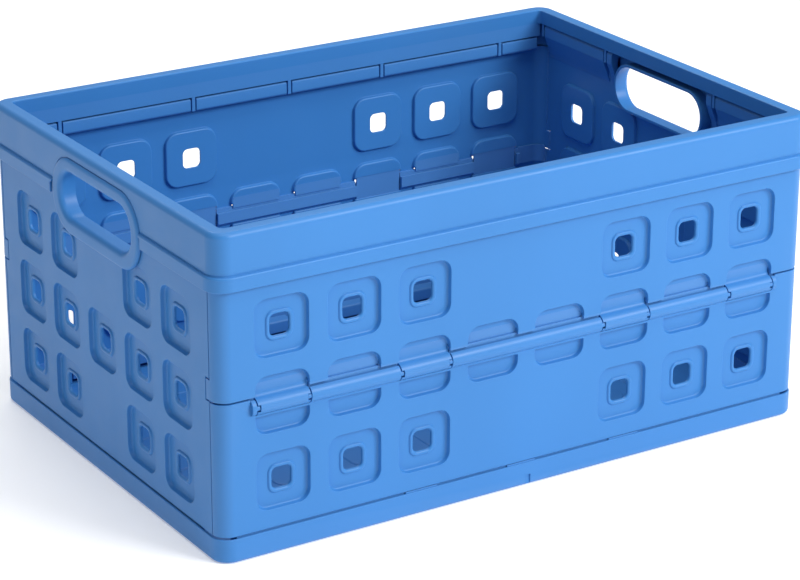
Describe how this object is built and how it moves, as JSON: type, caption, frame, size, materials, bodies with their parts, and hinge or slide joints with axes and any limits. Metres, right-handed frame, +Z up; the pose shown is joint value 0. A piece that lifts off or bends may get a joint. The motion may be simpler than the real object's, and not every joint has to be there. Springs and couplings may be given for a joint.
{
  "type": "collapsible storage crate",
  "caption": "Rectangular open-top folding crate of moulded plastic with hinged side walls, swing-in end walls, a square recess pattern and hand grips in both ends.",
  "frame": {"origin": "centre of the underside, where the crate stands", "axes": "+X along the crate's length, +Y from the front long side to the back one, +Z up"},
  "size_m": [0.53, 0.3678, 0.252],
  "materials": {
    "blue_plastic": "satin injection-moulded polypropylene, very fine even texture"
  },
  "bodies": {
    "base_tray": {"base_tray": "blue_plastic"},
    "lower_panel_front": {"lower_panel_front": "blue_plastic"},
    "lower_panel_back": {"lower_panel_back": "blue_plastic"},
    "upper_panel_front": {"upper_panel_front": "blue_plastic"},
    "upper_panel_back": {"upper_panel_back": "blue_plastic"},
    "top_frame": {"top_frame": "blue_plastic"},
    "end_panel_left": {"end_panel_left": "blue_plastic"},
    "end_panel_right": {"end_panel_right": "blue_plastic"}
  },
  "joints": [
    {"name": "fold_front_bottom", "type": "hinge", "parent": "base_tray", "child": "lower_panel_front", "pos_m": [0, -0.1743, 0.0117], "axis": [-1, 0, 0], "range_deg": [0, 0.3]},
    {"name": "fold_front_middle", "type": "hinge", "parent": "lower_panel_front", "child": "upper_panel_front", "pos_m": [0, -0.1794, 0.117], "axis": [1, 0, 0], "range_deg": [0, 0.6]},
    {"name": "fold_front_top", "type": "hinge", "parent": "upper_panel_front", "child": "top_frame", "pos_m": [0, -0.1743, 0.2223], "axis": [-1, 0, 0], "range_deg": [0, 0.3]},
    {"name": "fold_back_bottom", "type": "hinge", "parent": "base_tray", "child": "lower_panel_back", "pos_m": [0, 0.1743, 0.0117], "axis": [1, 0, 0], "range_deg": [0, 0.3]},
    {"name": "fold_back_middle", "type": "hinge", "parent": "lower_panel_back", "child": "upper_panel_back", "pos_m": [0, 0.1794, 0.117], "axis": [-1, 0, 0], "range_deg": [0, 0.6]},
    {"name": "end_swing_left", "type": "hinge", "parent": "top_frame", "child": "end_panel_left", "pos_m": [-0.256, 0, 0.234], "axis": [0, -1, 0], "range_deg": [0, 90]},
    {"name": "end_swing_right", "type": "hinge", "parent": "top_frame", "child": "end_panel_right", "pos_m": [0.256, 0, 0.234], "axis": [0, 1, 0], "range_deg": [0, 90]}
  ],
  "couplings": [
    {"joint": "fold_front_middle", "follows": "fold_front_bottom", "ratio": 2},
    {"joint": "fold_front_top", "follows": "fold_front_bottom", "ratio": 1},
    {"joint": "fold_back_bottom", "follows": "fold_front_bottom", "ratio": 1},
    {"joint": "fold_back_middle", "follows": "fold_front_bottom", "ratio": 2}
  ]
}
